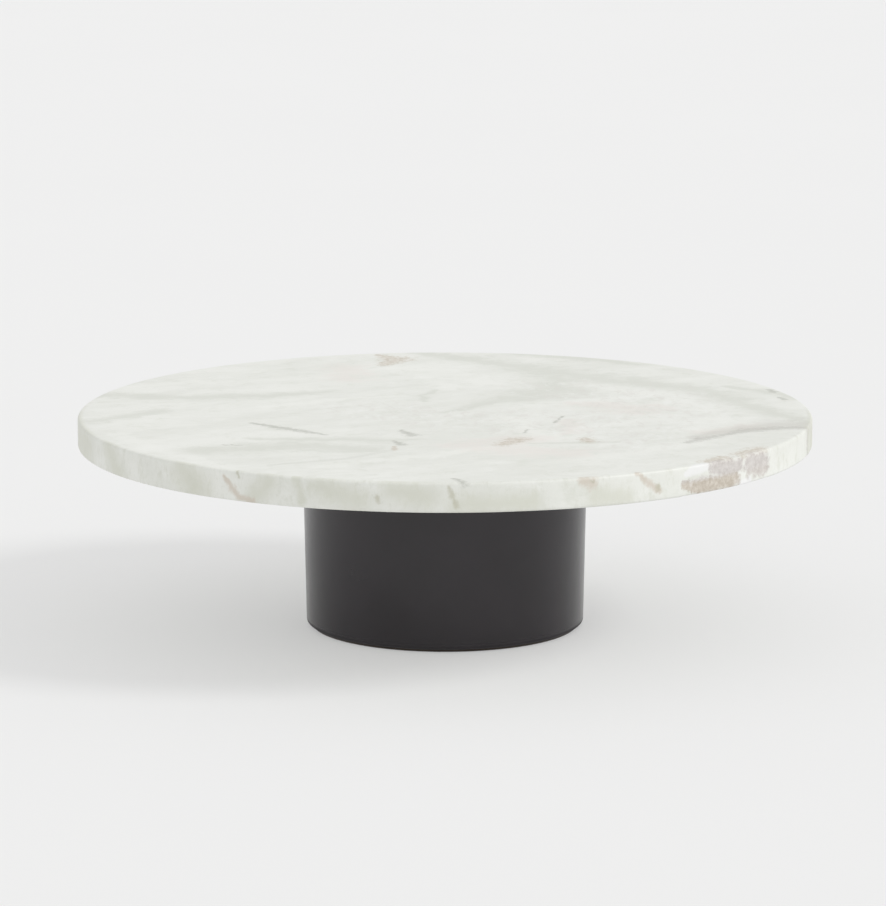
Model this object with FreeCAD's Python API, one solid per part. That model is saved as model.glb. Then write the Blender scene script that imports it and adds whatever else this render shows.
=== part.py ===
"""Cake turntable: a round marble top that turns on a four-point ball ring, carried by a weighted cast drum.

Millimetres, +Z up. The origin is the middle of the felt foot's underside, on the turning axis.
Three bodies move against each other: the base, the ball cage and the turntable.
"""

import FreeCAD, Part

import math
import os

from FreeCAD import Vector

# ---------------------------------------------------------------- driving dimensions

# Marble top
overall_height = 88.0
top_diameter = 300.0
top_thickness = 12.0
top_edge_radius = 1.2

# Drum: an aluminium casting, open at its mouth and drafted so that it draws from the sand
felt_thickness = 1.2
felt_inset = 0.5
drum_foot_radius = 56.9
drum_draft_deg = 1.15
drum_corner_radius = 1.6
drum_wall = 4.5
drum_floor = 6.0
drum_inner_radius = 6.0
mouth_wall = 2.5
mouth_edge_radius = 0.8
rim_gap = 2.0
ledge_fit = 0.3

# Ball ring: V-grooves at 45 degrees, so that one row of balls takes weight, tilt and side load
ball_diameter = 5.0
ball_count = 24
ball_clearance = 0.05
ring_split = 1.6
groove_lip = 1.2
groove_flat = 0.35
ring_step = 1.0
outer_ring_width = 13.2
inner_ring_width = 12.0
outer_ring_run = 1.8
ring_edge_chamfer = 0.4
cage_thickness = 1.0
cage_overlap = 0.6
cage_pocket_clearance = 0.15

# Gasket that beds the outer ring on the stone
gasket_thickness = 0.8
gasket_inset = 0.8

# M4 screws, their inserts in the stone and the rivets of the inner ring
screws_per_ring = 4
screw_diameter = 4.0
screw_hole_diameter = 4.5
screw_head_diameter = 8.0
screw_head_sink = 0.15
pan_head_height = 2.5
pan_head_crown = 1.0
screw_tip = 0.6
screw_socket = 2.5
screw_socket_depth = 1.4
stone_engagement = 6.0
thread_clearance = 0.05
insert_diameter = 7.0
insert_tail = 1.0
insert_groove = 0.35
insert_groove_count = 3
glue_gap = 0.2
spring_washer_thickness = 0.9
spring_washer_width = 1.5
washer_slit = 0.8
washer_slit_slant_deg = 25.0
inner_screw_grip = 6.5
rivet_diameter = 3.0
rivet_head_diameter = 5.0

# Bearing plate and the M8 tie bolt that clamps the whole base together
plate_thickness = 3.0
plate_chamfer = 0.5
bolt_diameter = 8.0
bolt_hole_diameter = 9.0
bolt_head_flats = 13.0
bolt_head_height = 5.3
bolt_end_chamfer = 1.0
bolt_tail = 0.9
hexagon_crown_deg = 30.0
nut_flats = 13.0
nut_height = 6.5
tie_washer_diameter = 20.0
tie_washer_thickness = 1.6
tie_spring_thickness = 2.0
tie_spring_width = 2.8
bolt_pocket_clearance = 0.6
bolt_pocket_side = 1.5
boss_radius = 18.0
boss_roof = 5.0

# Ballast and the spacer tube over it
ballast_thickness = 22.0
ballast_side_gap = 4.5
ballast_floor_gap = 0.3
ballast_chamfer = 3.0
ballast_top_radius = 1.5
boss_fit = 0.3
spacer_diameter = 16.0
spacer_wall = 2.5
spacer_chamfer = 0.5

# ---------------------------------------------------------------- places worked out from them

draft = math.tan(math.radians(drum_draft_deg))
top_radius = top_diameter / 2
stone_bottom = overall_height - top_thickness
drum_bottom = felt_thickness
drum_rim = stone_bottom - rim_gap


def drum_outer_radius(height):
    """Radius of the drum's outside at a height above the table."""
    return drum_foot_radius + (height - drum_bottom) * draft


ball_radius = ball_diameter / 2
groove_apex = (ball_radius + ball_clearance) * math.sqrt(2)
groove_half_height = groove_apex - ring_split / 2
ring_free_half = groove_half_height + groove_lip
ring_seat_half = ring_free_half + ring_step

outer_ring_top = stone_bottom - gasket_thickness
ball_height = outer_ring_top - ring_seat_half
outer_ring_bottom = ball_height - ring_free_half
inner_ring_top = ball_height + ring_free_half
inner_ring_bottom = ball_height - ring_seat_half
plate_top = inner_ring_bottom
plate_bottom = plate_top - plate_thickness

mouth_radius = drum_outer_radius(plate_bottom) - mouth_wall
plate_radius = mouth_radius - ledge_fit
outer_ring_outer = mouth_radius - outer_ring_run
outer_ring_inner = outer_ring_outer - outer_ring_width
pitch_radius = outer_ring_inner - ring_split / 2
inner_ring_outer = pitch_radius - ring_split / 2
inner_ring_inner = inner_ring_outer - inner_ring_width
outer_screw_circle = outer_ring_outer - screw_head_diameter / 2 - ring_edge_chamfer
inner_screw_circle = inner_ring_inner + inner_ring_width / 2

floor_top = drum_bottom + drum_floor
bolt_stack = bolt_head_height + tie_spring_thickness + tie_washer_thickness
pocket_roof = drum_bottom + bolt_stack + bolt_pocket_clearance
pocket_radius = tie_washer_diameter / 2 + bolt_pocket_side
boss_top = pocket_roof + boss_roof
ballast_bottom = floor_top + ballast_floor_gap
ballast_top = ballast_bottom + ballast_thickness
ballast_radius = drum_outer_radius(floor_top) - drum_wall - ballast_side_gap
bolt_head_top = pocket_roof - tie_washer_thickness - tie_spring_thickness
nut_top = plate_top + nut_height
bolt_end = nut_top + bolt_tail

SAME = 1e-4
OVERSHOOT = 1.0
FULL_TURN = 360.0
HEXAGON_SIDES = 6
UP = Vector(0, 0, 1)
AXIS_POINT = Vector(0, 0, 0)

# ---------------------------------------------------------------- shared shapes


def turned(outline):
    """Solid of revolution about Z from a closed list of (radius, height) points."""
    points = [Vector(radius, 0, height) for radius, height in outline]
    face = Part.Face(Part.makePolygon(points + points[:1]))
    return face.revolve(AXIS_POINT, UP, FULL_TURN)


def ring(inner, outer, low, high):
    """Plain ring between two radii and two heights."""
    return turned([(inner, low), (outer, low), (outer, high), (inner, high)])


def cylinder(radius, low, high):
    """Plain cylinder on the Z axis."""
    return Part.makeCylinder(radius, high - low, Vector(0, 0, low))


def hexagon(flats, low, high):
    """Hexagonal prism on the Z axis, given across its flats."""
    corner = flats / math.sqrt(3)
    turns = [math.radians(k * FULL_TURN / HEXAGON_SIDES) for k in range(HEXAGON_SIDES)]
    points = [Vector(corner * math.cos(a), corner * math.sin(a), low) for a in turns]
    return Part.Face(Part.makePolygon(points + points[:1])).extrude(Vector(0, 0, high - low))


def rims(solid, places):
    """The full circles of a solid that lie at the given (radius, height) places."""
    found = []
    for edge in solid.Edges:
        curve = edge.Curve
        if not isinstance(curve, Part.Circle) or math.hypot(curve.Center.x, curve.Center.y) > SAME:
            continue
        for radius, height in places:
            if abs(curve.Radius - radius) < SAME and abs(curve.Center.z - height) < SAME:
                found.append(edge)
    return found


def rounded(solid, radius, places):
    """The solid with a fillet on the circles at these places."""
    return solid.makeFillet(radius, rims(solid, places))


def chamfered(solid, size, places):
    """The solid with a chamfer on the circles at these places."""
    return solid.makeChamfer(size, rims(solid, places))


def around(shape, radius, count, start_deg=0.0):
    """Copies of a shape that stands on the Z axis, set evenly on a circle of this radius."""
    copies = []
    for k in range(count):
        copy = shape.copy()
        copy.translate(Vector(radius, 0, 0))
        copy.rotate(AXIS_POINT, UP, start_deg + k * FULL_TURN / count)
        copies.append(copy)
    return copies


def drilled(solid, tools):
    """The solid with every tool cut out of it."""
    return solid.cut(Part.makeCompound(tools)).Solids[0]


def countersink(low, high):
    """Cutter for a screw hole with a 90-degree countersink at its lower face."""
    head = screw_head_diameter / 2 + screw_head_sink
    hole = screw_hole_diameter / 2
    return turned([
        (0, low),
        (head, low),
        (hole, low + head - hole),
        (hole, high + OVERSHOOT),
        (0, high + OVERSHOOT),
    ])


def through_hole(diameter, low, high):
    """Cutter for a plain hole on the Z axis that passes through both faces."""
    return cylinder(diameter / 2, low - OVERSHOOT, high + OVERSHOOT)


def split_washer(inner, width, low, thickness):
    """Spring washer: a flat ring with one slanting cut through it."""
    washer = ring(inner, inner + width, low, low + thickness)
    slit_height = 4 * thickness
    middle = low + thickness / 2
    slit = Part.makeBox(3 * width, washer_slit, slit_height)
    slit.translate(Vector(inner - width, -washer_slit / 2, middle - slit_height / 2))
    slit.rotate(Vector(inner, 0, middle), Vector(1, 0, 0), washer_slit_slant_deg)
    return washer.cut(slit).Solids[0]


# ---------------------------------------------------------------- turntable


def marble_top():
    """Stone disc with eased edges and a blind hole in its underside for each insert."""
    disc = cylinder(top_radius, stone_bottom, overall_height)
    disc = rounded(disc, top_edge_radius, [(top_radius, stone_bottom), (top_radius, overall_height)])
    depth = stone_engagement + insert_tail + glue_gap
    hole = cylinder(insert_diameter / 2 + glue_gap, stone_bottom - OVERSHOOT, stone_bottom + depth)
    return drilled(disc, around(hole, outer_screw_circle, screws_per_ring))


def stone_inserts():
    """Brass inserts with ring grooves that key into the glue, threaded through."""
    length = stone_engagement + insert_tail
    outer = insert_diameter / 2
    bore = screw_diameter / 2 + thread_clearance
    outline = [(bore, stone_bottom), (outer, stone_bottom)]
    pitch = length / (2 * insert_groove_count + 1)
    for k in range(insert_groove_count):
        low = stone_bottom + (2 * k + 1) * pitch
        outline += [(outer, low), (outer - insert_groove, low)]
        outline += [(outer - insert_groove, low + pitch), (outer, low + pitch)]
    outline += [(outer, stone_bottom + length), (bore, stone_bottom + length)]
    return around(turned(outline), outer_screw_circle, screws_per_ring)


def ring_gasket():
    """Thin rubber gasket between the outer ring and the stone."""
    gasket = ring(
        outer_ring_inner + gasket_inset, outer_ring_outer - gasket_inset, outer_ring_top, stone_bottom
    )
    hole = through_hole(screw_hole_diameter, outer_ring_top, stone_bottom)
    return drilled(gasket, around(hole, outer_screw_circle, screws_per_ring))


def bearing_outer_ring():
    """Turning ring: V-groove inside, countersunk holes for the screws into the stone."""
    apex = pitch_radius + groove_apex
    body = turned([
        (outer_ring_inner, outer_ring_bottom),
        (outer_ring_outer, outer_ring_bottom),
        (outer_ring_outer, outer_ring_top),
        (outer_ring_inner, outer_ring_top),
        (outer_ring_inner, ball_height + groove_half_height),
        (apex - groove_flat, ball_height + groove_flat),
        (apex - groove_flat, ball_height - groove_flat),
        (outer_ring_inner, ball_height - groove_half_height),
    ])
    corners = [(outer_ring_outer, outer_ring_bottom), (outer_ring_outer, outer_ring_top)]
    body = chamfered(body, ring_edge_chamfer, corners)
    hole = countersink(outer_ring_bottom, outer_ring_top)
    return drilled(body, around(hole, outer_screw_circle, screws_per_ring))


def socket(low):
    """Cutter for the hexagonal socket in a screw head whose face is at this height."""
    return hexagon(screw_socket, low - OVERSHOOT, low + screw_socket_depth)


def outer_ring_screws():
    """Countersunk screws, heads down, that hold the outer ring up against the stone."""
    head = screw_head_diameter / 2
    shank = screw_diameter / 2
    face = outer_ring_bottom + screw_head_sink
    end = stone_bottom + stone_engagement
    screw = turned([
        (0, face),
        (head, face),
        (shank, face + head - shank),
        (shank, end - screw_tip),
        (shank - screw_tip, end),
        (0, end),
    ])
    screw = drilled(screw, [socket(face)])
    return around(screw, outer_screw_circle, screws_per_ring)


# ---------------------------------------------------------------- ball cage


def bearing_balls():
    """The row of steel balls."""
    ball = Part.makeSphere(ball_radius, Vector(0, 0, ball_height))
    return around(ball, pitch_radius, ball_count)


def ball_cage():
    """Thin nylon band between the rings, with a round pocket for each ball."""
    half = groove_half_height + cage_overlap
    band = ring(
        pitch_radius - cage_thickness / 2,
        pitch_radius + cage_thickness / 2,
        ball_height - half,
        ball_height + half,
    )
    pocket = Part.makeCylinder(
        ball_radius + cage_pocket_clearance,
        4 * cage_thickness,
        Vector(-2 * cage_thickness, 0, ball_height),
        Vector(1, 0, 0),
    )
    return drilled(band, around(pocket, pitch_radius, ball_count))


# ---------------------------------------------------------------- base: inner ring


def inner_ring_half(seat, free):
    """One half of the split inner ring, from its flat face at seat to the joint between the halves at free."""
    apex = pitch_radius - groove_apex
    side = 1 if seat > free else -1
    body = turned([
        (inner_ring_inner, seat),
        (inner_ring_outer, seat),
        (inner_ring_outer, ball_height + side * groove_half_height),
        (apex + groove_flat, ball_height + side * groove_flat),
        (apex + groove_flat, free),
        (inner_ring_inner, free),
    ])
    body = chamfered(body, ring_edge_chamfer, [(inner_ring_inner, seat)])
    tapped = through_hole(screw_diameter + 2 * thread_clearance, inner_ring_bottom, inner_ring_top)
    return drilled(body, around(tapped, inner_screw_circle, screws_per_ring) + rivets(thread_clearance))


def rivets(grow):
    """Rivets midway between the screws, with a flush countersunk head at each end, grown by a clearance."""
    shank = rivet_diameter / 2 + grow
    head = rivet_head_diameter / 2 + grow
    depth = head - shank
    rivet = turned([
        (0, inner_ring_bottom),
        (head, inner_ring_bottom),
        (shank, inner_ring_bottom + depth),
        (shank, inner_ring_top - depth),
        (head, inner_ring_top),
        (0, inner_ring_top),
    ])
    return around(rivet, inner_screw_circle, screws_per_ring, FULL_TURN / screws_per_ring / 2)


def inner_ring_rivets():
    """Aluminium rivets that hold the two halves of the inner ring round the balls."""
    return rivets(0.0)


def bearing_inner_upper():
    """Upper half of the inner ring."""
    return inner_ring_half(inner_ring_top, ball_height)


def bearing_inner_lower():
    """Lower half of the inner ring, seated on the bearing plate."""
    return inner_ring_half(inner_ring_bottom, ball_height)


def inner_ring_washers():
    """Spring washers under the heads of the inner ring's screws."""
    low = plate_bottom - spring_washer_thickness
    washer = split_washer(screw_hole_diameter / 2, spring_washer_width, low, spring_washer_thickness)
    return around(washer, inner_screw_circle, screws_per_ring)


def inner_ring_screws():
    """Pan-head screws from below, through the bearing plate, that tap into the inner ring."""
    seat = plate_bottom - spring_washer_thickness
    head = screw_head_diameter / 2
    shank = screw_diameter / 2
    end = plate_top + inner_screw_grip
    low = seat - pan_head_height
    screw = turned([
        (0, low),
        (head - pan_head_crown, low),
        (head, low + pan_head_crown),
        (head, seat),
        (shank, seat),
        (shank, end - screw_tip),
        (shank - screw_tip, end),
        (0, end),
    ])
    screw = drilled(screw, [socket(low)])
    return around(screw, inner_screw_circle, screws_per_ring)


# ---------------------------------------------------------------- base: plate, bolt and weights


def bearing_plate():
    """Steel disc that lies on the drum's ledge and carries the inner ring."""
    plate = cylinder(plate_radius, plate_bottom, plate_top)
    plate = chamfered(plate, plate_chamfer, [(plate_radius, plate_bottom), (plate_radius, plate_top)])
    screw_hole = through_hole(screw_hole_diameter, plate_bottom, plate_top)
    bolt_hole = through_hole(bolt_hole_diameter, plate_bottom, plate_top)
    return drilled(plate, around(screw_hole, inner_screw_circle, screws_per_ring) + [bolt_hole])


def crowned_hexagon(flats, seat, crown):
    """Hexagon between its seat and its crown, where the corners are turned off."""
    corner = flats / math.sqrt(3)
    inside = flats / 2
    drop = math.copysign((corner - inside) * math.tan(math.radians(hexagon_crown_deg)), crown - seat)
    envelope = turned([
        (0, seat),
        (corner, seat),
        (corner, crown - drop),
        (inside, crown),
        (0, crown),
    ])
    return hexagon(flats, min(seat, crown), max(seat, crown)).common(envelope).Solids[0]


def tie_bolt():
    """Long bolt, head down in the drum's pocket, that clamps ballast, spacer and plate to the drum."""
    head = crowned_hexagon(bolt_head_flats, bolt_head_top, bolt_head_top - bolt_head_height)
    shank = cylinder(bolt_diameter / 2, bolt_head_top, bolt_end)
    shank = chamfered(shank, bolt_end_chamfer, [(bolt_diameter / 2, bolt_end)])
    return head.fuse(shank).removeSplitter().Solids[0]


def tie_spring_washer():
    """Spring washer on the tie bolt's head."""
    inner = bolt_diameter / 2 + thread_clearance
    return split_washer(inner, tie_spring_width, bolt_head_top, tie_spring_thickness)


def tie_washer():
    """Broad flat washer against the roof of the drum's pocket."""
    return ring(
        bolt_hole_diameter / 2, tie_washer_diameter / 2, pocket_roof - tie_washer_thickness, pocket_roof
    )


def tie_nut():
    """Hexagon nut welded to the top of the bearing plate."""
    nut = crowned_hexagon(nut_flats, plate_top, nut_top)
    return drilled(nut, [through_hole(bolt_diameter + 2 * thread_clearance, plate_top, nut_top)])


def spacer_tube():
    """Steel tube that carries the clamping load from the plate to the ballast."""
    outer = spacer_diameter / 2
    tube = ring(outer - spacer_wall, outer, ballast_top, plate_bottom)
    return chamfered(tube, spacer_chamfer, [(outer, ballast_top), (outer, plate_bottom)])


def ballast_weight():
    """Cast-iron disc, recessed underneath to sit over the drum's boss."""
    recess = boss_radius + boss_fit
    hole = bolt_hole_diameter / 2
    disc = turned([
        (hole, boss_top),
        (recess, boss_top),
        (recess, ballast_bottom),
        (ballast_radius, ballast_bottom),
        (ballast_radius, ballast_top),
        (hole, ballast_top),
    ])
    disc = chamfered(disc, ballast_chamfer, [(ballast_radius, ballast_bottom)])
    return rounded(disc, ballast_top_radius, [(ballast_radius, ballast_top)])


def drum_casting():
    """Cup-shaped drum: drafted wall, rounded foot, stepped mouth and a hollow boss for the bolt's head."""
    inner_floor = drum_outer_radius(floor_top) - drum_wall
    inner_ledge = drum_outer_radius(plate_bottom) - drum_wall
    hole = bolt_hole_diameter / 2
    cup = turned([
        (hole, pocket_roof),
        (pocket_radius, pocket_roof),
        (pocket_radius, drum_bottom),
        (drum_foot_radius, drum_bottom),
        (drum_outer_radius(drum_rim), drum_rim),
        (mouth_radius, drum_rim),
        (mouth_radius, plate_bottom),
        (inner_ledge, plate_bottom),
        (inner_floor, floor_top),
        (boss_radius, floor_top),
        (boss_radius, boss_top),
        (hole, boss_top),
    ])
    cup = rounded(cup, drum_corner_radius, [(drum_foot_radius, drum_bottom)])
    cup = rounded(cup, drum_inner_radius, [(inner_floor, floor_top)])
    rim_edges = [(drum_outer_radius(drum_rim), drum_rim), (mouth_radius, drum_rim)]
    return rounded(cup, mouth_edge_radius, rim_edges)


def felt_foot():
    """Felt disc glued under the drum. It hides the bolt's head and is what the turntable stands on."""
    radius = drum_foot_radius - drum_corner_radius - felt_inset
    return cylinder(radius, 0, felt_thickness)


# ---------------------------------------------------------------- export

PIECES = (
    marble_top,
    stone_inserts,
    ring_gasket,
    bearing_outer_ring,
    outer_ring_screws,
    bearing_balls,
    ball_cage,
    bearing_inner_upper,
    bearing_inner_lower,
    inner_ring_rivets,
    inner_ring_washers,
    inner_ring_screws,
    bearing_plate,
    tie_nut,
    tie_bolt,
    tie_spring_washer,
    tie_washer,
    spacer_tube,
    ballast_weight,
    drum_casting,
    felt_foot,
)


def main():
    """Builds every piece and writes one STEP file for each."""
    os.makedirs("parts", exist_ok=True)
    for piece in PIECES:
        made = piece()
        shape = Part.makeCompound(made) if isinstance(made, list) else made
        if not shape.isValid():
            raise ValueError(piece.__name__ + " is not a valid solid")
        shape.exportStep(os.path.join("parts", piece.__name__ + ".step"))
        print(piece.__name__, round(shape.Volume, 1), len(shape.Solids))
    contact_radius = pitch_radius + ball_radius / math.sqrt(2)
    print("turns of the cage per turn of the top:", round(contact_radius / (2 * pitch_radius), 6))
    print("height of the balls:", round(ball_height, 4))


main()
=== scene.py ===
import math

import bpy
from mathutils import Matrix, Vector


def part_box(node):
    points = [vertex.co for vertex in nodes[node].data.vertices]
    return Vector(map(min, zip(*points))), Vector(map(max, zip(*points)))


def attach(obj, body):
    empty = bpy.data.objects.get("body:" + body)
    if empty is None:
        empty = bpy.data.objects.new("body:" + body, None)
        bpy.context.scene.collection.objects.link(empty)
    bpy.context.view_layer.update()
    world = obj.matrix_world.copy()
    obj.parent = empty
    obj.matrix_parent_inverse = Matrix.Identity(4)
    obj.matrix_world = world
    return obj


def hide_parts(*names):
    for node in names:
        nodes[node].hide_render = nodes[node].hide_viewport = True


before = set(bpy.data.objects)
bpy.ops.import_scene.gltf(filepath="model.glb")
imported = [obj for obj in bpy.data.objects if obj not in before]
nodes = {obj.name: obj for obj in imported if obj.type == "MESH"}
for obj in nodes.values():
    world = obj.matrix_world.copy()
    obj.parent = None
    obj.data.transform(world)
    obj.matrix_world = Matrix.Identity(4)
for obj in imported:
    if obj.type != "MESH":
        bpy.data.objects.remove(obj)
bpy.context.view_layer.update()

MM = 0.001

# ---------------------------------------------------------------- felt foot
# A disc of dark brown wool felt, die-cut and glued under the drum. It keeps the metal off the table and hides
# the head of the tie bolt. Its cut edge is slightly woolly.

felt_low, felt_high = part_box("felt_foot")
FELT_EDGE_STEPS = 420
FELT_EDGE_ROUNDING = 0.35 * MM
FELT_WOOLLINESS = 0.22 * MM
FELT_TUFT = 1.1 * MM
FELT_FLAT_INSETS = (0.8 * MM, 6.0 * MM, 14.0 * MM, 14.0 * MM)


def start_clean():
    """Leaves edit mode and selects nothing."""
    if bpy.context.object and bpy.context.object.mode == "EDIT":
        bpy.ops.object.mode_set(mode="OBJECT")
    bpy.ops.object.select_all(action="DESELECT")


def begin(name):
    """Names the primitive that was just added, and settles it where it lies."""
    piece = bpy.context.object
    piece.name = name
    piece.data.name = name
    bpy.ops.object.transform_apply(location=True, rotation=False, scale=False)
    return piece


def pick(piece, kind, wanted):
    """Opens a piece for shaping and selects the faces, edges or vertices for which wanted(item) is true."""
    bpy.ops.object.mode_set(mode="EDIT")
    bpy.ops.mesh.select_mode(type={"faces": "FACE", "edges": "EDGE", "vertices": "VERT"}[kind])
    bpy.ops.mesh.select_all(action="DESELECT")
    bpy.ops.object.mode_set(mode="OBJECT")
    mesh = piece.data
    for item in {"faces": mesh.polygons, "edges": mesh.edges, "vertices": mesh.vertices}[kind]:
        item.select = wanted(item)
    bpy.ops.object.mode_set(mode="EDIT")


def edge_ends(piece, edge):
    """The two end points of an edge."""
    return [piece.data.vertices[index].co for index in edge.vertices]


def on_circle(piece, radius, height, slack=0.02 * MM):
    """A test for the edges that lie on a level circle of this radius, at this height."""
    def wanted(edge):
        return all(
            abs(math.hypot(end.x, end.y) - radius) < slack and abs(end.z - height) < slack
            for end in edge_ends(piece, edge)
        )
    return wanted


def level_face(height, largest_radius, slack=0.02 * MM):
    """A test for the level faces at this height whose corners all lie within this radius."""
    def wanted(face):
        centre = face.center
        return (
            abs(face.normal.z) > 0.9
            and abs(centre.z - height) < slack
            and math.hypot(centre.x, centre.y) < largest_radius
        )
    return wanted


def outside(piece, radius):
    """The numbers of the vertices that lie further out than this radius."""
    return [v.index for v in piece.data.vertices if math.hypot(v.co.x, v.co.y) > radius]


def finish_mesh(piece, smooth_deg):
    """Merges doubles, turns the faces outwards and smooths what is round."""
    bpy.ops.object.mode_set(mode="EDIT")
    bpy.ops.mesh.select_all(action="SELECT")
    bpy.ops.mesh.remove_doubles(threshold=0.001 * MM)
    bpy.ops.mesh.normals_make_consistent(inside=False)
    bpy.ops.object.mode_set(mode="OBJECT")
    bpy.ops.object.select_all(action="DESELECT")
    piece.select_set(True)
    bpy.context.view_layer.objects.active = piece
    bpy.ops.object.shade_smooth_by_angle(angle=math.radians(smooth_deg))


def roughen(piece, group, texture_name, grain, depth):
    """Presses the vertices of a group inwards, by up to this depth, in a cloud pattern of this grain."""
    clouds = bpy.data.textures.new(texture_name, "CLOUDS")
    clouds.noise_basis = "ORIGINAL_PERLIN"
    clouds.noise_scale = grain
    clouds.noise_depth = 3
    uneven = piece.modifiers.new(texture_name, "DISPLACE")
    uneven.texture = clouds
    uneven.vertex_group = group
    uneven.texture_coords = "LOCAL"
    uneven.direction = "NORMAL"
    uneven.mid_level = 1.0
    uneven.strength = depth
    bpy.context.view_layer.objects.active = piece
    bpy.ops.object.modifier_apply(modifier=uneven.name)


class Value:
    """One output in a material's nodes. Plain arithmetic on it adds the Math nodes."""

    def __init__(self, recipe, socket):
        self.recipe = recipe
        self.socket = socket

    def math(self, operation, first, second=0.0):
        return self.recipe.node("ShaderNodeMath", {"operation": operation}, {0: first, 1: second})

    def __add__(self, other):
        return self.math("ADD", self, other)

    def __sub__(self, other):
        return self.math("SUBTRACT", self, other)

    def __mul__(self, other):
        return self.math("MULTIPLY", self, other)

    def __truediv__(self, other):
        return self.math("DIVIDE", self, other)

    def __rsub__(self, other):
        return self.math("SUBTRACT", other, self)

    __radd__ = __add__
    __rmul__ = __mul__


class Recipe:
    """A material, or the sky, while it is being mixed. Every node in it is added by node()."""

    def __init__(self, owner):
        self.owner = owner
        self.owner.use_nodes = True
        self.tree = self.owner.node_tree
        self.tree.nodes.clear()

    def node(self, kind, settings, inputs, output=0):
        """Adds a node, with its settings first, then the values or links of its inputs."""
        made = self.tree.nodes.new(kind)
        for name, setting in settings.items():
            setattr(made, name, setting)
        for name, value in inputs.items():
            if isinstance(value, Value):
                self.tree.links.new(value.socket, made.inputs[name])
            else:
                made.inputs[name].default_value = value
        return Value(self, made.outputs[output]) if made.outputs else None

    def vector(self, operation, first, second=(0.0, 0.0, 0.0), scale=1.0, output=0):
        """A Vector Math node. DOT_PRODUCT, DISTANCE and LENGTH give their number with output 1."""
        return self.node(
            "ShaderNodeVectorMath", {"operation": operation}, {0: first, 1: second, 3: scale}, output
        )

    def place(self):
        """The piece's own coordinates, in millimetres."""
        own = self.node("ShaderNodeTexCoord", {}, {}, "Object")
        return self.vector("SCALE", own, scale=1 / MM)

    def parts(self, place):
        """The x, y and z of a place."""
        split = self.node("ShaderNodeSeparateXYZ", {}, {0: place})
        return [Value(self, split.socket.node.outputs[k]) for k in range(3)]

    def noise(self, place, size, detail=4.0, roughness=0.5, distortion=0.0, output="Fac"):
        """Cloudy noise whose features are about this many millimetres across."""
        settings = {"noise_dimensions": "3D", "normalize": True}
        inputs = {
            "Vector": place,
            "Scale": 1 / size,
            "Detail": detail,
            "Roughness": roughness,
            "Distortion": distortion,
        }
        return self.node("ShaderNodeTexNoise", settings, inputs, output)

    def smooth(self, value, low, high):
        """0 below low, 1 above high, and a smooth step between. low may be the larger one."""
        settings = {"interpolation_type": "SMOOTHSTEP"}
        if low > high:
            return 1.0 - self.node("ShaderNodeMapRange", settings, {0: value, 1: high, 2: low})
        return self.node("ShaderNodeMapRange", settings, {0: value, 1: low, 2: high})

    def tint(self, share, first, second):
        """first where share is 0, second where it is 1. Colours are red, green and blue, linear."""
        settings = {"data_type": "RGBA", "blend_type": "MIX", "clamp_factor": True}
        solid = [(*c, 1.0) if isinstance(c, tuple) else c for c in (first, second)]
        return self.node("ShaderNodeMix", settings, {0: share, 6: solid[0], 7: solid[1]}, 2)

    def bump(self, height, depth):
        """A normal from a height of 0 to 1, which stands for this many millimetres."""
        return self.node("ShaderNodeBump", {}, {"Height": height, "Distance": depth * MM, "Strength": 1.0})

    def surface(self, sockets):
        """Ends the material with a Principled shader that has these sockets set."""
        shader = self.node("ShaderNodeBsdfPrincipled", {}, sockets)
        self.node("ShaderNodeOutputMaterial", {}, {"Surface": shader})
        return self.owner


def new_finish(name):
    """Starts a material's recipe."""
    return Recipe(bpy.data.materials.new(name))


def wool_felt():
    """Pressed brown wool: matted fibres, lighter and darker tufts, no shine."""
    felt = new_finish("wool_felt")
    place = felt.place()
    tufts = felt.noise(place, 3.0, 5.0, 0.65)
    fibres = felt.noise(place, 0.35, 6.0, 0.75, 2.5)
    colour = felt.tint(tufts, (0.018, 0.014, 0.011), (0.046, 0.036, 0.027))
    colour = felt.tint(fibres * 0.5, colour, (0.075, 0.059, 0.045))
    return felt.surface({
        "Base Color": colour,
        "Roughness": 0.94,
        "Specular IOR Level": 0.2,
        "Sheen Weight": 0.25,
        "Sheen Roughness": 0.6,
        "Normal": felt.bump(fibres * 0.7 + tufts * 0.3, 0.25),
    })


def make_felt_foot():
    """The disc, with its edge rounded over and pulled woolly."""
    radius = felt_high.x
    thickness = felt_high.z - felt_low.z
    start_clean()
    bpy.ops.mesh.primitive_cylinder_add(
        vertices=FELT_EDGE_STEPS,
        radius=radius,
        depth=thickness,
        location=(0, 0, felt_low.z + thickness / 2),
    )
    piece = begin("felt_disc")
    for height in (felt_low.z, felt_high.z):
        reach = radius
        for step in FELT_FLAT_INSETS:
            pick(piece, "faces", level_face(height, reach))
            bpy.ops.mesh.inset(thickness=step, depth=0)
            reach -= step
    for height in (felt_low.z, felt_high.z):
        pick(piece, "edges", on_circle(piece, radius, height))
        bpy.ops.mesh.bevel(offset=FELT_EDGE_ROUNDING, segments=3, profile=0.5)
    bpy.ops.object.mode_set(mode="OBJECT")
    woolly = piece.vertex_groups.new(name="woolly_edge")
    woolly.add(outside(piece, radius - 1.1 * FELT_EDGE_ROUNDING), 1.0, "REPLACE")
    roughen(piece, "woolly_edge", "felt_wool", FELT_TUFT, FELT_WOOLLINESS)
    finish_mesh(piece, smooth_deg=50.0)
    piece.data.materials.append(wool_felt())
    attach(piece, "base")
    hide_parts("felt_foot")


make_felt_foot()

# ---------------------------------------------------------------- drum
# A sand-cast aluminium cup, drafted so that it draws from the mould, and turned at its mouth to seat the
# bearing plate. Its satin black coat keeps a little of the casting's unevenness.

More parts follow.
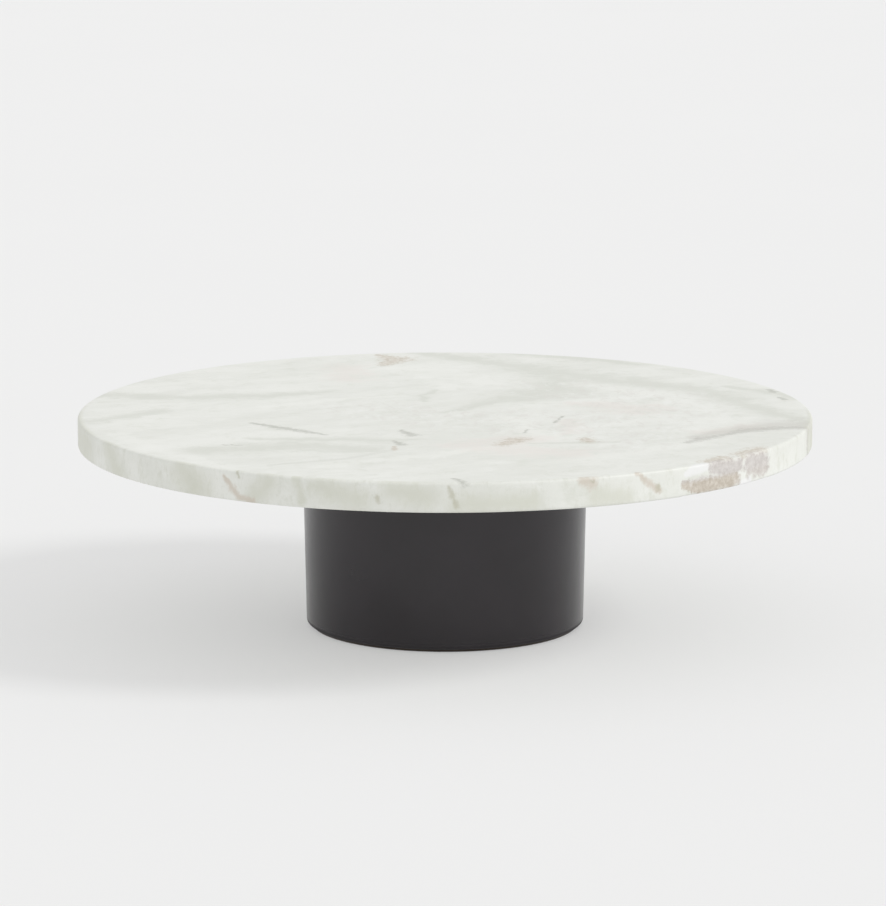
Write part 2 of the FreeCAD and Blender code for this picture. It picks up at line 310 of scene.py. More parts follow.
drum_low, drum_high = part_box("drum_casting")
plate_low, plate_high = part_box("bearing_plate")
washer_low, washer_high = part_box("tie_washer")
DRUM_STEPS = 288
DRUM_DRAFT = math.tan(math.radians(1.15))
DRUM_FOOT_CORNER = 1.6 * MM
FELT_INSET = 0.5 * MM
DRUM_FOOT_RADIUS = felt_high.x + DRUM_FOOT_CORNER + FELT_INSET
DRUM_WALL = 4.5 * MM
DRUM_FLOOR = 6.0 * MM
DRUM_MOUTH_WALL = 2.5 * MM
DRUM_MOUTH_EDGE = 0.8 * MM
DRUM_INNER_CORNER = 6.0 * MM
BOLT_POCKET_RADIUS = 11.5 * MM
BOSS_RADIUS = 18.0 * MM
BOSS_ROOF = 5.0 * MM
BOLT_HOLE_RADIUS = 4.5 * MM


def drum_radius(height):
    """Outside radius of the drafted drum at a height."""
    return DRUM_FOOT_RADIUS + (height - drum_low.z) * DRUM_DRAFT


def satin_black():
    """Sprayed satin black over a cast skin: faint orange peel, blotches of shine, a foot scuffed dull."""
    coat = new_finish("satin_black")
    place = coat.place()
    blotches = coat.noise(place, 26.0, 3.0, 0.55)
    haze = coat.noise(place, 7.0, 4.0, 0.6)
    peel = coat.noise(place, 0.9, 3.0, 0.5)
    cast_skin = coat.noise(place, 9.0, 2.0, 0.5)
    worn = coat.smooth(blotches, 0.35, 0.68)
    colour = coat.tint(worn, (0.0054, 0.0024, 0.0046), (0.0096, 0.0058, 0.0090))
    foot = drum_low.z / MM
    scuffed = coat.smooth(coat.parts(place)[2], foot + 2.4, foot + 1.0)
    roughness = 0.14 + blotches * 0.12 + haze * 0.08 + scuffed * 0.45
    return coat.surface({
        "Base Color": colour,
        "Metallic": 0.0,
        "Roughness": roughness,
        "IOR": 1.55,
        "Normal": coat.bump(cast_skin * 0.8 + peel * 0.2, 0.09),
    })


def make_drum():
    """The cup: a cylinder that is drafted, hollowed from its mouth and given its boss and bolt pocket."""
    height = drum_high.z - drum_low.z
    top_radius = drum_radius(drum_high.z)
    start_clean()
    bpy.ops.mesh.primitive_cylinder_add(
        vertices=DRUM_STEPS,
        radius=top_radius,
        depth=height,
        location=(0, 0, drum_low.z + height / 2),
    )
    piece = begin("drum")

    def scaled_to(radius, now):
        bpy.ops.transform.resize(value=(radius / now, radius / now, 1), center_override=(0, 0, 0))

    # draft of the outside
    pick(piece, "faces", level_face(drum_low.z, top_radius))
    scaled_to(DRUM_FOOT_RADIUS, top_radius)

    # mouth, ledge and inside, down to the floor
    mouth_radius = drum_radius(plate_low.z) - DRUM_MOUTH_WALL
    ledge_radius = drum_radius(plate_low.z) - DRUM_WALL
    floor_height = drum_low.z + DRUM_FLOOR
    floor_radius = drum_radius(floor_height) - DRUM_WALL
    pick(piece, "faces", level_face(drum_high.z, top_radius))
    bpy.ops.mesh.inset(thickness=top_radius - mouth_radius, depth=0)
    bpy.ops.mesh.extrude_region_move(TRANSFORM_OT_translate={"value": (0, 0, plate_low.z - drum_high.z)})
    bpy.ops.mesh.inset(thickness=mouth_radius - ledge_radius, depth=0)
    bpy.ops.mesh.extrude_region_move(TRANSFORM_OT_translate={"value": (0, 0, floor_height - plate_low.z)})
    scaled_to(floor_radius, ledge_radius)

    # boss that rises from the floor, open for the bolt
    bpy.ops.mesh.inset(thickness=floor_radius - BOSS_RADIUS, depth=0)
    boss_top = washer_high.z + BOSS_ROOF
    bpy.ops.mesh.extrude_region_move(TRANSFORM_OT_translate={"value": (0, 0, boss_top - floor_height)})
    bpy.ops.mesh.inset(thickness=BOSS_RADIUS - BOLT_HOLE_RADIUS, depth=0)
    bpy.ops.mesh.delete(type="FACE")

    # pocket for the bolt's head, from below
    pick(piece, "faces", level_face(drum_low.z, top_radius))
    bpy.ops.mesh.inset(thickness=DRUM_FOOT_RADIUS - BOLT_POCKET_RADIUS, depth=0)
    bpy.ops.mesh.extrude_region_move(TRANSFORM_OT_translate={"value": (0, 0, washer_high.z - drum_low.z)})
    bpy.ops.mesh.inset(thickness=BOLT_POCKET_RADIUS - BOLT_HOLE_RADIUS, depth=0)
    bpy.ops.mesh.delete(type="FACE")
    hole_rims = [on_circle(piece, BOLT_HOLE_RADIUS, h) for h in (boss_top, washer_high.z)]
    pick(piece, "edges", lambda edge: any(test(edge) for test in hole_rims))
    bpy.ops.mesh.bridge_edge_loops()

    # rounded foot, mouth and inner corner
    for radius, level, size, steps in (
        (DRUM_FOOT_RADIUS, drum_low.z, DRUM_FOOT_CORNER, 8),
        (top_radius, drum_high.z, DRUM_MOUTH_EDGE, 4),
        (mouth_radius, drum_high.z, DRUM_MOUTH_EDGE, 4),
        (floor_radius, floor_height, DRUM_INNER_CORNER, 6),
    ):
        pick(piece, "edges", on_circle(piece, radius, level))
        bpy.ops.mesh.bevel(offset=size, segments=steps, profile=0.5)
    bpy.ops.object.mode_set(mode="OBJECT")
    finish_mesh(piece, smooth_deg=32.0)
    piece.data.materials.append(satin_black())
    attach(piece, "base")
    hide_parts("drum_casting")


make_drum()

# ---------------------------------------------------------------- tie bolt
# One long hexagon bolt, head down in the drum's pocket, pulls the whole foot together. It has a broad washer,
# a spring washer and a nut on top, all in bright zinc-plated steel.


def dress(names, material):
    """Gives CAD nodes their finish."""
    for name in names:
        materials = nodes[name].data.materials
        materials.clear()
        materials.append(material)


def zinc_plate():
    """Bright zinc over steel: a cool bloom, a faint yellow stain and fine scratches from the barrel."""
    plating = new_finish("zinc_plate")
    place = plating.place()
    bloom = plating.noise(place, 3.0, 4.0, 0.6)
    scuffs = plating.noise(place, 0.25, 5.0, 0.7, 1.5)
    colour = plating.tint(plating.smooth(bloom, 0.4, 0.7), (0.600, 0.625, 0.660), (0.690, 0.680, 0.640))
    return plating.surface({
        "Base Color": colour,
        "Metallic": 1.0,
        "Roughness": 0.24 + scuffs * 0.22,
        "Normal": plating.bump(scuffs, 0.03),
    })


zinc = zinc_plate()
dress(("tie_bolt", "tie_washer", "tie_spring_washer", "tie_nut"), zinc)

# ---------------------------------------------------------------- ballast
# A thick grey iron ring that sits on the drum's floor and makes the stand hard to tip. It is left as cast,
# with an oily dark skin.


def cast_iron():
    """Sand-cast iron: coarse skin, dark, with a little rust in the hollows."""
    iron = new_finish("cast_iron")
    place = iron.place()
    skin = iron.noise(place, 1.1, 5.0, 0.65)
    patches = iron.noise(place, 12.0, 4.0, 0.6)
    colour = iron.tint(skin, (0.045, 0.045, 0.048), (0.120, 0.118, 0.118))
    colour = iron.tint(iron.smooth(patches, 0.56, 0.75) * 0.5, colour, (0.160, 0.080, 0.040))
    return iron.surface({
        "Base Color": colour,
        "Metallic": 0.6,
        "Roughness": 0.60 + skin * 0.20,
        "Normal": iron.bump(skin, 0.25),
    })


dress(("ballast_weight",), cast_iron())

# ---------------------------------------------------------------- spacer and bearing plate
# A sawn steel tube stands on the ballast and carries a 3 mm steel disc that drops onto the ledge in the
# drum's mouth. The nut clamps all of it.


def rolled_steel():
    """Cold-rolled steel: fine straight rolling lines, grey, slightly oily."""
    steel = new_finish("rolled_steel")
    place = steel.place()
    lines = steel.node(
        "ShaderNodeMapping", {"vector_type": "TEXTURE"}, {"Vector": place, "Scale": (40.0, 1.0, 4.0)}
    )
    rolled = steel.noise(lines, 0.22, 3.0, 0.6)
    stains = steel.noise(place, 14.0, 4.0, 0.6)
    return steel.surface({
        "Base Color": steel.tint(rolled * 0.5 + stains * 0.5, (0.330, 0.335, 0.345), (0.520, 0.520, 0.515)),
        "Metallic": 1.0,
        "Roughness": 0.32 + stains * 0.18,
        "Normal": steel.bump(rolled, 0.02),
    })


dress(("spacer_tube", "bearing_plate"), rolled_steel())

# ---------------------------------------------------------------- inner ring
# Two turned aluminium halves form the still race of the bearing. Four rivets hold the halves together, and
# four screws with washers hold them to the plate.

RING_FEED_MM = 0.18


def turned_aluminium():
    """Aluminium from the lathe: fine rings from the tool, a soft haze and the odd darker arc."""
    metal = new_finish("turned_aluminium")
    place = metal.place()
    level = metal.parts(place)[2]
    radius = metal.vector("LENGTH", metal.vector("MULTIPLY", place, (1, 1, 0)), output=1)
    path = metal.node("ShaderNodeCombineXYZ", {}, {0: radius, 1: level})
    rings = metal.noise(path, RING_FEED_MM, 3.0, 0.6)
    bands = metal.noise(path, 2.4, 3.0, 0.6)
    haze = metal.noise(place, 9.0, 4.0, 0.6)
    colour = metal.tint(bands * 0.6 + haze * 0.4, (0.640, 0.645, 0.655), (0.800, 0.800, 0.800))
    return metal.surface({
        "Base Color": colour,
        "Metallic": 1.0,
        "Roughness": 0.27 + rings * 0.14 + haze * 0.08,
        "Normal": metal.bump(rings, 0.02),
    })


def peened_aluminium():
    """Soft rivet aluminium, with the small flats that the rivet set leaves."""
    metal = new_finish("peened_aluminium")
    place = metal.place()
    flats = metal.node("ShaderNodeTexVoronoi", {"feature": "F1"}, {"Vector": place, "Scale": 1.6})
    haze = metal.noise(place, 0.6, 4.0, 0.6)
    return metal.surface({
        "Base Color": metal.tint(haze, (0.600, 0.605, 0.615), (0.760, 0.760, 0.755)),
        "Metallic": 1.0,
        "Roughness": 0.30 + haze * 0.2,
        "Normal": metal.bump(flats, 0.05),
    })


turned = turned_aluminium()
dress(("bearing_inner_upper", "bearing_inner_lower"), turned)
dress(("inner_ring_rivets",), peened_aluminium())
dress(("inner_ring_screws", "inner_ring_washers"), zinc)

# ---------------------------------------------------------------- cage and balls
# Twenty-four hardened steel balls run in a thin white nylon band that keeps them apart. The band floats
# between the rings and goes round at about half the speed of the top.


def polished_steel():
    """Ground and lapped bearing steel: a mirror with a trace of grease."""
    steel = new_finish("polished_steel")
    grease = steel.noise(steel.place(), 2.0, 4.0, 0.6)
    return steel.surface({
        "Base Color": steel.tint(grease, (0.540, 0.545, 0.560), (0.620, 0.622, 0.625)),
        "Metallic": 1.0,
        "Roughness": 0.06 + steel.smooth(grease, 0.45, 0.75) * 0.12,
        "Normal": steel.bump(grease, 0.004),
    })


def moulded_nylon():
    """Unfilled nylon: milky, with a faint spark-eroded grain from its mould."""
    nylon = new_finish("moulded_nylon")
    place = nylon.place()
    milk = nylon.noise(place, 5.0, 4.0, 0.55)
    spark = nylon.noise(place, 0.15, 3.0, 0.6)
    return nylon.surface({
        "Base Color": nylon.tint(milk, (0.700, 0.685, 0.630), (0.790, 0.780, 0.735)),
        "Roughness": 0.42 + spark * 0.14,
        "Normal": nylon.bump(spark, 0.015),
    })


dress(("bearing_balls",), polished_steel())
dress(("ball_cage",), moulded_nylon())

# ---------------------------------------------------------------- outer ring, gasket and inserts
# The turning race, screwed up into brass inserts that are bonded into the stone. A thin rubber gasket
# between the two takes up the unevenness of the marble's underside.


def black_rubber():
    """Die-cut rubber sheet: cloth-marked, chalky bloom."""
    rubber = new_finish("black_rubber")
    place = rubber.place()
    weave = rubber.node(
        "ShaderNodeTexWave", {"wave_type": "BANDS"}, {"Vector": place, "Scale": 0.9, "Distortion": 0.6}
    )
    bloom = rubber.noise(place, 6.0, 5.0, 0.6)
    return rubber.surface({
        "Base Color": rubber.tint(bloom, (0.012, 0.012, 0.012), (0.045, 0.044, 0.042)),
        "Roughness": 0.68 + bloom * 0.16,
        "Normal": rubber.bump(weave * 0.5 + bloom * 0.5, 0.05),
    })


def machined_brass():
    """Free-cutting brass, dulled by handling."""
    brass = new_finish("machined_brass")
    place = brass.place()
    tarnish = brass.noise(place, 1.6, 4.0, 0.6)
    cuts = brass.noise(place, 0.12, 3.0, 0.6)
    return brass.surface({
        "Base Color": brass.tint(tarnish, (0.700, 0.500, 0.210), (0.480, 0.320, 0.120)),
        "Metallic": 1.0,
        "Roughness": 0.26 + tarnish * 0.2,
        "Normal": brass.bump(cuts, 0.02),
    })


dress(("bearing_outer_ring",), turned)
dress(("outer_ring_screws",), zinc)
dress(("ring_gasket",), black_rubber())
dress(("stone_inserts",), machined_brass())

# ---------------------------------------------------------------- marble top
# A 12 mm slab of white marble with grey-green bands and a rusty inclusion in its rim. It is cut round and
# honed flat on both faces, its edges are eased by hand, and the turning ring is screwed to it from below.

marble_low, marble_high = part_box("marble_top")
MARBLE_RADIUS = (marble_high.x - marble_low.x + marble_high.y - marble_low.y) / 4
MARBLE_STEPS = 720
MARBLE_EASE = 1.2 * MM
MARBLE_RIM_ROWS = 9
MARBLE_FACE_INSETS = (4.0 * MM, 8.0 * MM, 30.0 * MM)
MARBLE_WAVE = 22.0 * MM
MARBLE_WAVINESS = 0.16 * MM
INCLUSION_ARC = (99.0, 152.0)
INCLUSION_GRAIN = 2.4 * MM
INCLUSION_PITS = 0.35 * MM
insert_low, insert_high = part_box("stone_inserts")
INSERT_RADIUS = 3.5 * MM
INSERT_CIRCLE = insert_high.x - INSERT_RADIUS
INSERT_COUNT = 4
GLUE_GAP = 0.2 * MM
INSERT_POCKET_STEPS = 48


def marble():
    """The stone. Its bands run right through the slab, and the rim shows inclusions of its own."""
    stone = new_finish("honed_marble")
    place = stone.place()
    x, y, z = stone.parts(place)

    def warped(size, sway):
        """How far the stone is folded at a place by waves of this size, in millimetres."""
        waves = stone.noise(place, size, 4.0, 0.6, output="Color")
        return stone.vector("SCALE", stone.vector("SUBTRACT", waves, (0.5, 0.5, 0.5)), scale=sway)

    folds = warped(34.0, 10.0)
    ripples = warped(9.0, 6.0)
    shiver = warped(2.5, 3.2)
    bedded = stone.vector("ADD", stone.vector("ADD", place, folds), ripples)
    level = stone.vector("MULTIPLY", bedded, (1.0, 1.0, 0.0))
    on_top = stone.vector("MULTIPLY", stone.vector("ADD", place, shiver), (1.0, 1.0, 0.0))

    def reach(where, strokes):
        """How far a place is from the nearest stroke, as a share of the stroke's half width there."""
        nearest = None
        for points in strokes:
            for (x0, y0, half0), (x1, y1, half1) in zip(points, points[1:]):
                run = Vector((x1 - x0, y1 - y0, 0.0))
                offset = stone.vector("SUBTRACT", where, (x0, y0, 0.0))
                along = stone.vector("DOT_PRODUCT", offset, tuple(run / run.length_squared), output=1)
                along = stone.node("ShaderNodeClamp", {}, {0: along})
                foot = stone.vector("SCALE", tuple(run), scale=along)
                gap = stone.vector("DISTANCE", offset, foot, output=1)
                share = gap / (along * (half1 - half0) + half0)
                nearest = share if nearest is None else share.math("MINIMUM", nearest, share)
        return nearest

    # clouds of the ground mass, drawn out along the bedding
    drawn = stone.node(
        "ShaderNodeMapping",
        {"vector_type": "TEXTURE"},
        {"Vector": bedded, "Rotation": (0.0, 0.0, math.radians(25)), "Scale": (2.4, 1.0, 1.4)},
    )
    clouds = stone.noise(drawn, 24.0, 6.0, 0.62, 0.6)
    wisps = stone.noise(drawn, 7.0, 6.0, 0.70, 1.2)
    mottle = stone.noise(bedded, 9.0, 7.0, 0.72)
    crumb = stone.noise(place, 2.2, 5.0, 0.7)
    crystals = stone.noise(place, 0.45, 2.0, 0.5)
    patchy = (mottle - 0.5) * 4.5
    broken = (crumb - 0.5) * 5.0

    colour = stone.tint(stone.smooth(clouds, 0.30, 0.70), (0.755, 0.765, 0.712), (0.826, 0.834, 0.788))
    colour = stone.tint(stone.smooth(wisps, 0.50, 0.78) * 0.45, colour, (0.680, 0.694, 0.632))
    colour = stone.tint(stone.smooth(mottle, 0.52, 0.70) * 0.48, colour, (0.665, 0.680, 0.605))
    colour = stone.tint(stone.smooth(mottle, 0.46, 0.28) * 0.52, colour, (0.862, 0.870, 0.838))

    grey_bands = [
        [(-12, 148, 4), (8, 132, 8), (32, 112, 10), (50, 92, 15), (78, 74, 11), (108, 52, 9), (124, 22, 7)],
        [(124, 22, 6), (136, -4, 6), (148, -22, 8)],
        [(50, 92, 12), (48, 57, 15), (33, 38, 12), (14, 18, 5), (0, 0, 2.5)],
        [(-148, 44, 6.5), (-108, 34, 6.5), (-72, 40, 7.5), (-48, 50, 4)],
        [(-142, -20, 5), (-116, 4, 4)],
        [(-96, -84, 8), (-62, -74, 13), (-34, -80, 8)],
        [(-4, 54, 1.5), (-9, 40, 2.4), (-8, 26, 1.4)],
        [(34, -69, 1.5), (52, -67, 2.4), (68, -66, 1.4)],
        [(120, 62, 3), (137, 46, 4), (148, 30, 3)],
        [(30, 148, 5), (66, 128, 6), (84, 118, 3)],
        [(-78, -58, 3), (-30, -62, 7), (-12, -60, 3)],
    ]
    bands = stone.smooth(reach(level, grey_bands) + patchy + (wisps - 0.5) * 1.5, 1.6, 0.0)
    colour = stone.tint(bands * 0.72, colour, (0.640, 0.655, 0.588))

    light_ridges = [
        [(-74, 12, 3), (-45, 31, 3.5), (-18, 38, 2.5)],
        [(-132, -50, 5), (-112, -86, 6), (-86, -118, 5)],
        [(-14, 104, 13), (14, 76, 13)],
        [(-2, 72, 6), (2, 58, 6)],
        [(60, 66, 9), (84, 46, 9)],
        [(97, 28, 10), (114, -8, 9), (100, -34, 10)],
        [(58, -104, 11), (100, -66, 8)],
        [(-50, -118, 4), (-8, -96, 5), (18, -76, 3)],
        [(-132, 62, 5), (-96, 74, 6)],
        [(28, -14, 8), (40, -52, 8)],
    ]
    ridges = stone.smooth(reach(level, light_ridges) + patchy, 1.5, 0.0)
    colour = stone.tint(ridges * 0.50, colour, (0.858, 0.866, 0.820))

    # blush where iron has stained the stone
    blushes = [
        [(-44, 112, 9), (-40, 82, 10)],
        [(14, -80, 9), (48, -88, 12)],
        [(56, 20, 7), (80, 8, 14)],
        [(50, -20, 5), (50, -48, 5)],
        [(104, -46, 5), (124, -30, 6)],
        [(6, -73, 9), (32, -60, 12)],
    ]
    blush = stone.smooth(reach(level, blushes) + patchy, 1.6, 0.0)
    colour = stone.tint(blush * (crumb * 0.7 + 0.12), colour, (0.785, 0.728, 0.680))

    # curdled patches, where the bedding was crushed and healed again
    crushed = [
        [(-34, 10, 18), (16, -22, 26), (58, -30, 30)],
        [(50, 52, 22), (88, 24, 26), (72, -64, 20)],
    ]
    curds = stone.noise(stone.vector("MULTIPLY", on_top, (1.0, 0.45, 1.0)), 5.0, 5.0, 0.68, 0.8)
    curdled = stone.smooth(reach(level, crushed) + patchy * 0.5, 1.8, 0.3)
    colour = stone.tint(curdled * stone.smooth(curds, 0.50, 0.66) * 0.55, colour, (0.700, 0.680, 0.635))
    colour = stone.tint(curdled * stone.smooth(curds, 0.47, 0.34) * 0.45, colour, (0.870, 0.872, 0.846))

    # dark hairs and specks, only near the top face
    near_top = stone.smooth(z, marble_high.z / MM - 3.0, marble_high.z / MM - 0.6)
    dark_hairs = [
        [(-78, -24, 0.8), (-66, -35, 1.7), (-56, -43, 1.5), (-47, -51, 0.4)],
        [(-18, -40, 0.7), (-13, -51, 1.7)],
        [(-20, -64, 0.7), (-17, -72, 1.4)],
        [(48, -8, 0.4), (44, -24, 0.5)],
        [(33, -38, 0.4), (32, -46, 0.4)],
        [(3, -142, 0.6), (7, -149, 1.0)],
        [(-88, -72, 0.5), (-80, -73, 0.3)],
        [(136, 54, 0.9), (138, 48, 1.1)],
        [(139, 36, 0.7), (141, 30, 0.8)],
    ]
    hairs = stone.smooth(reach(on_top, dark_hairs) + broken * 1.4, 2.6, 0.0) * near_top
    colour = stone.tint(hairs * 0.74, colour, (0.440, 0.448, 0.392))

    soft_folds = [[(-20, -83, 1.8), (-38, -101, 2.0), (-68, -115, 1.3)]]
    fold = stone.smooth(reach(on_top, soft_folds) + broken * 0.5, 1.7, 0.0) * near_top
    colour = stone.tint(fold * 0.42, colour, (0.610, 0.622, 0.560))

    # the grey-brown wedge that runs in from the rim, with a darker seam along its lower side
    wedges = [[(152, -25, 10), (136, -27, 9), (122, -34, 6), (108, -47, 4), (98, -58, 2.5)]]
    wedge = stone.smooth(reach(level, wedges) + patchy * 0.7, 1.7, 0.0)
    colour = stone.tint(wedge * 0.58, colour, (0.590, 0.578, 0.534))
    seams = [
        [(152, -33, 1.6), (135, -35, 2.9), (121, -41, 2.9), (112, -50, 1.5), (103, -58, 2.8), (96, -67, 1.6)],
    ]
    seam = stone.smooth(reach(on_top, seams) + broken, 2.0, 0.1)
    colour = stone.tint(seam * 0.58, colour, (0.440, 0.428, 0.384))

    # rust at the top face
    rusts = [
        [(-29, 142, 1.5), (-21, 130, 7.0), (-26, 116, 3.0)],
        [(22, -72, 3.0), (29, -61, 5.0)],
        [(56, -59, 3.0), (57, -65, 3.0)],
        [(-20, -76, 1.0), (-20, -84, 1.2)],
        [(102, -107, 3.5), (109, -99, 3.5)],
        [(116, -91, 4.0), (124, -81, 4.5)],
    ]
    rust = stone.smooth(reach(on_top, rusts) + broken * 0.8, 1.6, 0.1) * near_top
    rust_colour = stone.tint(stone.smooth(crumb, 0.35, 0.65), (0.540, 0.482, 0.398), (0.715, 0.668, 0.595))
    colour = stone.tint(rust * 0.80, colour, rust_colour)

    # the rim's own inclusions, laid out along the rim from its front, and up from the underside
    turn = stone.node("ShaderNodeMath", {"operation": "ARCTAN2"}, {0: x, 1: y * -1.0})
    along_rim = turn * (MARBLE_RADIUS / MM)
    up_rim = z - marble_low.z / MM
    rim_flat = stone.node("ShaderNodeCombineXYZ", {}, {0: along_rim, 1: up_rim})
    rim_place = stone.vector("ADD", rim_flat, stone.vector("MULTIPLY", shiver, (0.6, 0.6, 0.0)))
    out = stone.vector("LENGTH", stone.vector("MULTIPLY", place, (1.0, 1.0, 0.0)), output=1)
    on_rim = stone.smooth(out, MARBLE_RADIUS / MM - 3.0, MARBLE_RADIUS / MM - 0.9)
    rim_cloud = stone.noise(stone.vector("MULTIPLY", rim_flat, (1.0, 0.45, 1.0)), 4.5, 6.0, 0.7)

    colour = stone.tint(stone.smooth(rim_cloud, 0.48, 0.70) * on_rim * 0.60, colour, (0.640, 0.650, 0.570))
    rim_clouds = [
        [(-225, 6, 16), (-192, 6, 10)],
        [(-165, 12, 5), (-154, 0, 7)],
        [(-112, 10, 6), (-104, 2, 8)],
        [(-76, 3, 5), (-70, 9, 4)],
        [(-58, 11, 2.2), (-56, 3, 2.0)],
        [(-48, 9, 5), (-34, 4, 6)],
        [(-20, 9, 5), (-7, 6, 5)],
        [(6, 3, 5), (34, 4, 4)],
        [(60, 4, 5), (72, 3, 4)],
        [(203, 13, 2.2), (204, -1, 2.2)],
        [(214, 6, 9), (230, 6, 12)],
    ]
    rim_shade = stone.smooth(reach(rim_place, rim_clouds) + (rim_cloud - 0.5) * 4.0, 1.6, 0.0) * on_rim
    colour = stone.tint(rim_shade * 0.60, colour, (0.622, 0.630, 0.530))
    white_seams = [
        [(101, 9, 1.4), (107, 10.4, 2.2), (112, 10.6, 1.6)],
        [(133, 0, 2.2), (138, 1.2, 1.6)],
    ]
    white_seam = stone.smooth(reach(rim_place, white_seams), 1.5, 0.6) * on_rim
    colour = stone.tint(white_seam * 0.8, colour, (0.850, 0.850, 0.850))
    rim_rusts = [
        [(99.5, 5.0, 1.8), (106, 3.6, 3.4), (128, 3.4, 3.9)],
        [(116, 9.5, 3.4), (124, 8.0, 3.6), (131, 8.5, 3.0)],
        [(139, 7.5, 5.0), (148, 6.4, 5.0)],
    ]
    rim_rust = stone.smooth(reach(rim_place, rim_rusts) + broken * 0.28, 1.25, 0.60) * on_rim
    rim_stains = [
        [(-90.5, 9.4, 0.7), (-87, 5.5, 1.5), (-83.5, 1.8, 1.0), (-77.0, 1.0, 1.2)],
        [(53.5, 10.8, 1.5), (57.0, 9.6, 2.3)],
        [(77, 11.8, 0.6), (82, 7.5, 1.1), (87.5, 4.0, 1.1)],
    ]
    rim_stain = stone.smooth(reach(rim_place, rim_stains) + broken * 0.6, 1.9, 0.2) * on_rim
    colour = stone.tint(rim_stain * 0.72, colour, (0.600, 0.528, 0.440))
    mauve = stone.tint(stone.smooth(crumb, 0.26, 0.74), (0.500, 0.460, 0.436), (0.680, 0.644, 0.620))
    umber = stone.tint(stone.smooth(crumb, 0.28, 0.72), (0.430, 0.364, 0.286), (0.640, 0.582, 0.504))
    low_down = stone.smooth(up_rim + (crumb - 0.5) * 5.0, 6.8, 4.4)
    to_the_right = stone.smooth(along_rim + (crumb - 0.5) * 8.0, 126.0, 136.0)
    rim_rust_colour = stone.tint(low_down * (1.0 - to_the_right * 0.8), mauve, umber)
    colour = stone.tint(rim_rust * 0.90, colour, rim_rust_colour)
    rim_hairs = [
        [(-84.5, 11.6, 0.4), (-83.5, 9.8, 0.5)],
        [(-26, 6.0, 0.9), (-25.5, 4.6, 0.8)],
        [(1.5, 10, 0.6), (3.0, 6, 0.9), (4.4, 2.4, 0.7)],
        [(86.5, 5.6, 0.9), (87.2, 4.4, 0.7)],
        [(57.0, 10.6, 0.4), (58.0, 10.2, 0.4)],
    ]
    rim_hair = stone.smooth(reach(rim_place, rim_hairs) + broken * 0.8, 2.2, 0.0) * on_rim
    colour = stone.tint(rim_hair * 0.55, colour, (0.450, 0.436, 0.320))

    colour = stone.tint(crystals * 0.10, colour, (0.890, 0.895, 0.870))
    soft_spots = stone.smooth(rim_rust + rust + wedge * 0.5, 0.0, 1.0)
    return stone.surface({
        "Base Color": colour,
        "Roughness": 0.40 + wisps * 0.12 + soft_spots * 0.25,
        "IOR": 1.49,
        "Normal": stone.bump(crystals * 0.3 + crumb * soft_spots * 0.7, 0.12),
    })


def drill_pockets(piece):
    """Blind holes in the underside, a little larger than the inserts, to leave room for the resin."""
    depth = insert_high.z + GLUE_GAP - marble_low.z
    for turn in range(INSERT_COUNT):
        angle = 2 * math.pi * turn / INSERT_COUNT
        start_clean()
        bpy.ops.mesh.primitive_cylinder_add(
            vertices=INSERT_POCKET_STEPS,
            radius=INSERT_RADIUS + GLUE_GAP,
            depth=2 * depth,
            location=(INSERT_CIRCLE * math.cos(angle), INSERT_CIRCLE * math.sin(angle), marble_low.z),
        )
        drill = bpy.context.object
        pocket = piece.modifiers.new("pocket", "BOOLEAN")
        pocket.operation = "DIFFERENCE"
        pocket.solver = "EXACT"
        pocket.object = drill
        bpy.context.view_layer.objects.active = piece
        bpy.ops.object.modifier_apply(modifier=pocket.name)
        bpy.data.meshes.remove(drill.data)


def make_marble_top():
    """The disc, with its eased edges, hand-ground rim, crumbly inclusion and pockets."""
    thickness = marble_high.z - marble_low.z

    def upright(edge):
        first, second = edge_ends(piece, edge)
        return abs(first.z - second.z) > thickness / 2

    start_clean()
    bpy.ops.mesh.primitive_cylinder_add(
        vertices=MARBLE_STEPS,
        radius=MARBLE_RADIUS,
        depth=thickness,
        location=(0, 0, marble_low.z + thickness / 2),
    )
    piece = begin("marble_disc")
    for height in (marble_low.z, marble_high.z):
        reach = MARBLE_RADIUS
        for step in MARBLE_FACE_INSETS:
            pick(piece, "faces", level_face(height, reach))
            bpy.ops.mesh.inset(thickness=step, depth=0)
            reach -= step
    for height in (marble_low.z, marble_high.z):
        pick(piece, "edges", on_circle(piece, MARBLE_RADIUS, height))
        bpy.ops.mesh.bevel(offset=MARBLE_EASE, segments=5, profile=0.5)
    pick(piece, "edges", upright)
    bpy.ops.mesh.subdivide(number_cuts=MARBLE_RIM_ROWS)
    bpy.ops.object.mode_set(mode="OBJECT")
    ground = piece.vertex_groups.new(name="hand_ground")
    rim = outside(piece, MARBLE_RADIUS - 1.05 * MARBLE_EASE)
    ground.add(rim, 1.0, "REPLACE")
    roughen(piece, "hand_ground", "rim_waves", MARBLE_WAVE, MARBLE_WAVINESS)
    crumbly = piece.vertex_groups.new(name="crumbly_inclusion")
    first, last = (arc / (MARBLE_RADIUS / MM) for arc in INCLUSION_ARC)
    for index in rim:
        spot = piece.data.vertices[index].co
        if first < math.atan2(spot.x, -spot.y) < last:
            crumbly.add([index], 1.0, "REPLACE")
    roughen(piece, "crumbly_inclusion", "inclusion_pits", INCLUSION_GRAIN, INCLUSION_PITS)
    drill_pockets(piece)
    finish_mesh(piece, smooth_deg=40.0)
    piece.data.materials.append(marble())
    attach(piece, "turntable")
    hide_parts("marble_top")


make_marble_top()

# ---------------------------------------------------------------- studio
# A pale sheet of opal acrylic on a light table, an even white sky that is a little brighter near the
# horizon, and one wide soft key light from the right. The sheet's own glow keeps the shadows light.

FLOOR_HALF = 9.0
FLOOR_GLOW = 0.36


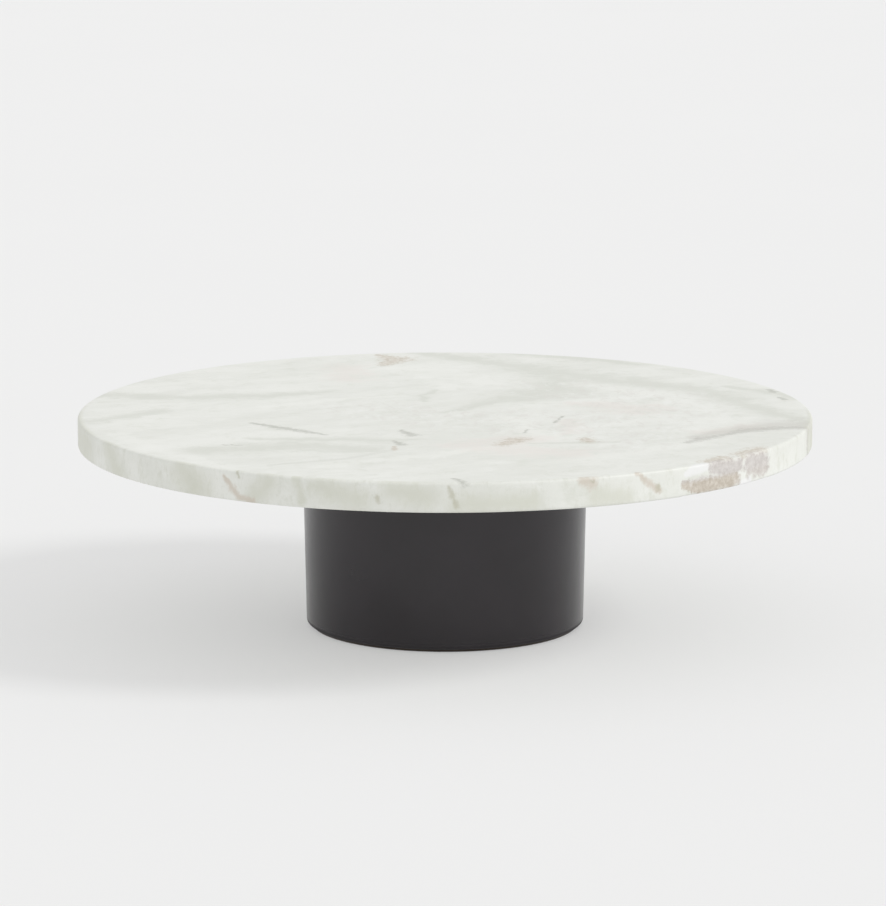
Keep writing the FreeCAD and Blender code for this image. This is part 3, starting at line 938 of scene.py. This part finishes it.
def opal_sheet():
    """Matt opal acrylic, very slightly mottled, lit from below."""
    sheet = new_finish("opal_sheet")
    mottle = sheet.noise(sheet.place(), 300.0, 3.0, 0.5)
    return sheet.surface({
        "Base Color": sheet.tint(mottle, (0.494, 0.494, 0.492), (0.506, 0.506, 0.504)),
        "Roughness": 0.95,
        "Specular IOR Level": 0.1,
        "Emission Color": (1.0, 1.0, 1.0, 1.0),
        "Emission Strength": FLOOR_GLOW,
    })


start_clean()
bpy.ops.mesh.primitive_plane_add(size=2 * FLOOR_HALF, location=(0, 0, 0))
floor = bpy.context.object
floor.name = "floor"
floor.data.materials.append(opal_sheet())

SKY_STRENGTH = 0.77
HORIZON_GLOW = 0.21

world = bpy.data.worlds.new("studio")
bpy.context.scene.world = world
sky = Recipe(world)
direction = sky.node("ShaderNodeTexCoord", {}, {}, "Generated")
glow = sky.smooth(sky.parts(direction)[2], 0.55, 0.0) * HORIZON_GLOW + SKY_STRENGTH
light = sky.node("ShaderNodeBackground", {}, {"Color": (1.0, 1.0, 1.0, 1.0), "Strength": glow})
sky.node("ShaderNodeOutputWorld", {}, {"Surface": light})

KEY_TOWARDS = Vector((0.76, -0.20, 0.62)).normalized()
KEY_WIDTH_DEG = 18.0
KEY_STRENGTH = 1.06

key_light = bpy.data.lights.new("key", "SUN")
key_light.angle = math.radians(KEY_WIDTH_DEG)
key_light.energy = KEY_STRENGTH
key = bpy.data.objects.new("key", key_light)
key.rotation_euler = (-KEY_TOWARDS).to_track_quat("-Z", "Y").to_euler()
bpy.context.scene.collection.objects.link(key)

CAMERA_PLACE = Vector((-0.0008, -2.0, 0.4483))
CAMERA_TIP_DEG = 10.68
CAMERA_LENS = 197.4
CAMERA_SENSOR = 36.0

camera_data = bpy.data.cameras.new("camera")
camera_data.lens = CAMERA_LENS
camera_data.sensor_width = CAMERA_SENSOR
camera = bpy.data.objects.new("camera", camera_data)
camera.location = CAMERA_PLACE
camera.rotation_euler = (math.radians(90.0 - CAMERA_TIP_DEG), 0.0, 0.0)
bpy.context.scene.collection.objects.link(camera)
bpy.context.scene.camera = camera

view_settings = bpy.context.scene.view_settings
view_settings.view_transform = "Standard"
view_settings.look = "None"
